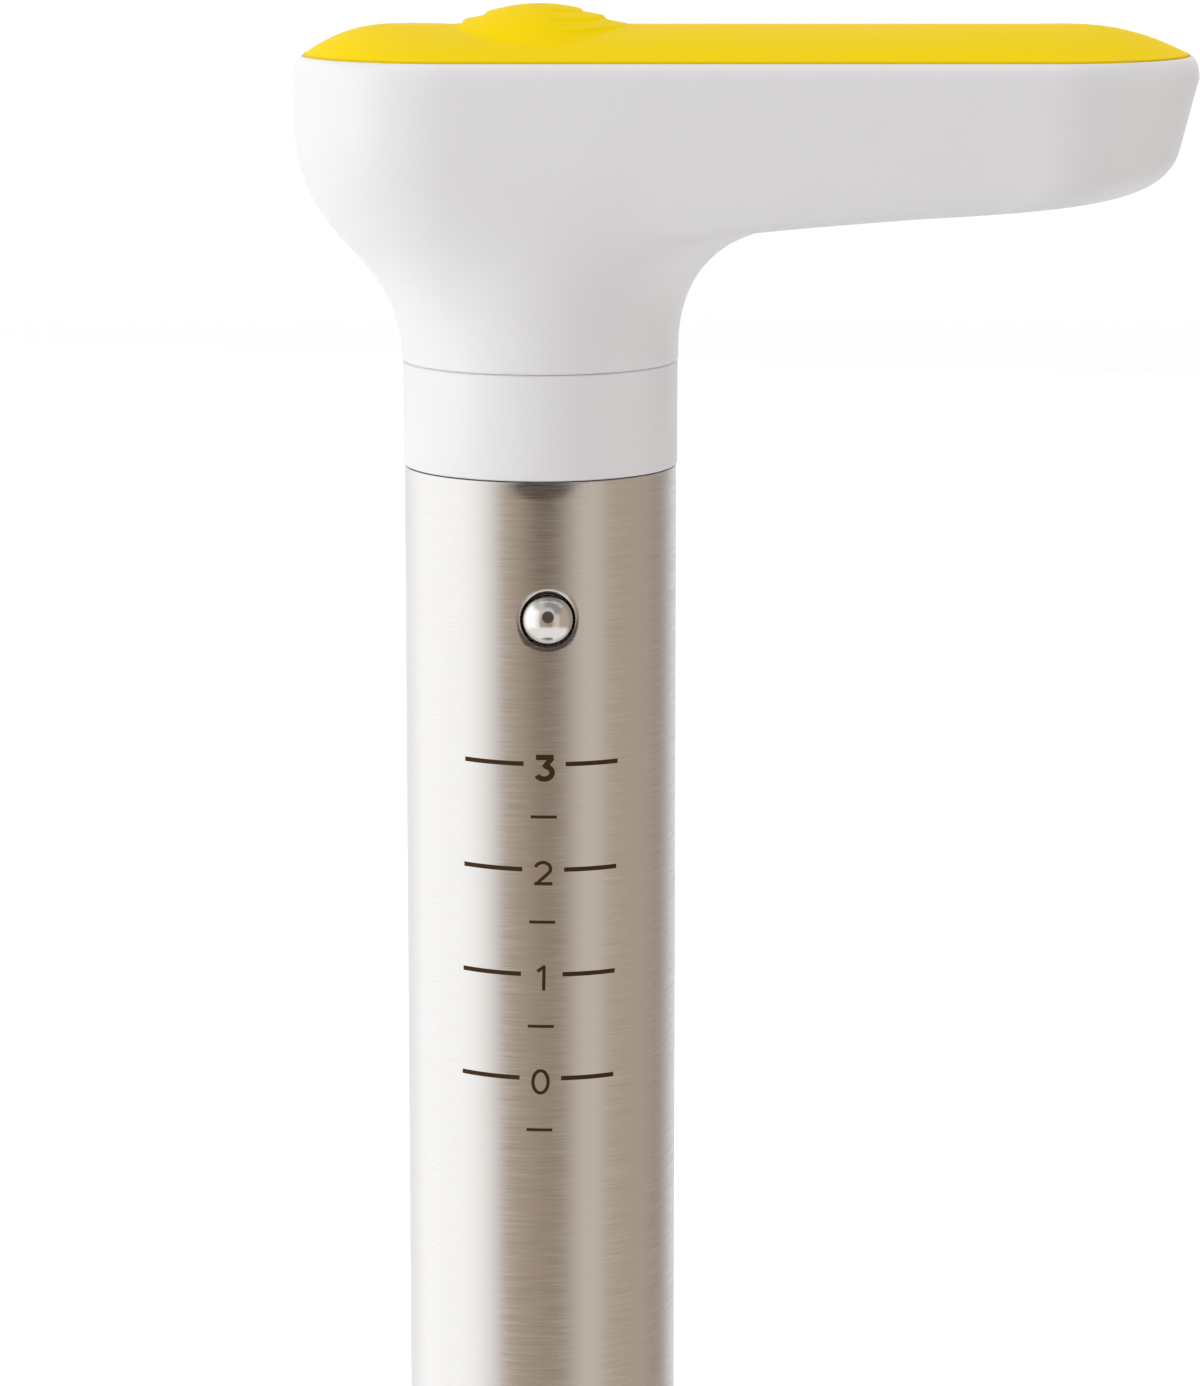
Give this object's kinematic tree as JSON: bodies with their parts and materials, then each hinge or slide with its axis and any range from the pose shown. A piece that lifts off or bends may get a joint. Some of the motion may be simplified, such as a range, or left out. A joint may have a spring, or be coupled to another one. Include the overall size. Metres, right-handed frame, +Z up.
{
  "type": "pineapple slicer",
  "caption": "Ratcheting crank handle on a steel coring tube with a one-turn spiral blade and toothed ring, released by a sprung button.",
  "frame": {"origin": "under the middle of the whole tool's box, on the plane that the tube's teeth and the ring's lowest tooth stand on", "axes": "+Z up along the tube, +X along the crank arm, -Y the side with the release button"},
  "size_m": [0.122, 0.0862, 0.2338],
  "materials": {
    "tube_steel": "brushed round the tube",
    "blade_steel": "bright rolled",
    "button_chrome": "polished",
    "white_plastic": "satin",
    "yellow_grip": "soft touch",
    "inner_plastic": "moulded",
    "bearing_plastic": "moulded",
    "fastener_steel": "zinc plated"
  },
  "bodies": {
    "shaft": {"core_tube": "tube_steel", "spiral_blade": "blade_steel", "cutting_ring": "blade_steel"},
    "drive": {"drive_hub": "white_plastic", "locking_plug": "inner_plastic", "plug_screw_left": "fastener_steel", "plug_screw_right": "fastener_steel", "button_spring": "fastener_steel", "ratchet_wheel": "bearing_plastic", "spindle_washer": "fastener_steel", "spindle_screw": "fastener_steel"},
    "button": {"release_button": "button_chrome"},
    "handle": {"handle_shell": "white_plastic", "top_cover": "yellow_grip", "neck_bush": "bearing_plastic", "pawl_carrier": "inner_plastic", "ratchet_cover": "fastener_steel", "carrier_screw_left": "fastener_steel", "carrier_screw_right": "fastener_steel", "pawl_pin_left": "fastener_steel", "pawl_pin_right": "fastener_steel", "pawl_spring_left": "fastener_steel", "pawl_spring_right": "fastener_steel"},
    "pawl_left": {"pawl_left": "bearing_plastic"},
    "pawl_right": {"pawl_right": "bearing_plastic"}
  },
  "joints": [
    {"name": "handle_lift", "type": "slide", "parent": "shaft", "child": "drive", "axis": [0, 0, 1], "range_m": [0, 0.24]},
    {"name": "button_press", "type": "slide", "parent": "drive", "child": "button", "axis": [-0.0628, 0.998, 0], "range_m": [0, 0.003], "stiffness_N_per_m": 400, "springref_m": -0.004, "deforming": ["button_spring"]},
    {"name": "ratchet_turn", "type": "hinge", "parent": "drive", "child": "handle", "pos_m": [-0.0179, 0, 0.2], "axis": [0, 0, 1], "continuous": true},
    {"name": "pawl_left_swing", "type": "hinge", "parent": "handle", "child": "pawl_left", "pos_m": [-0.02533, 0.00728, 0.2], "axis": [0, 0, 1], "range_deg": [0, 13], "stiffness_Nm_per_rad": 0.004, "springref_deg": -17.19, "deforming": ["pawl_spring_left"]},
    {"name": "pawl_right_swing", "type": "hinge", "parent": "handle", "child": "pawl_right", "pos_m": [-0.01047, -0.00728, 0.2], "axis": [0, 0, 1], "range_deg": [0, 13], "stiffness_Nm_per_rad": 0.004, "springref_deg": -17.19, "deforming": ["pawl_spring_right"]}
  ]
}
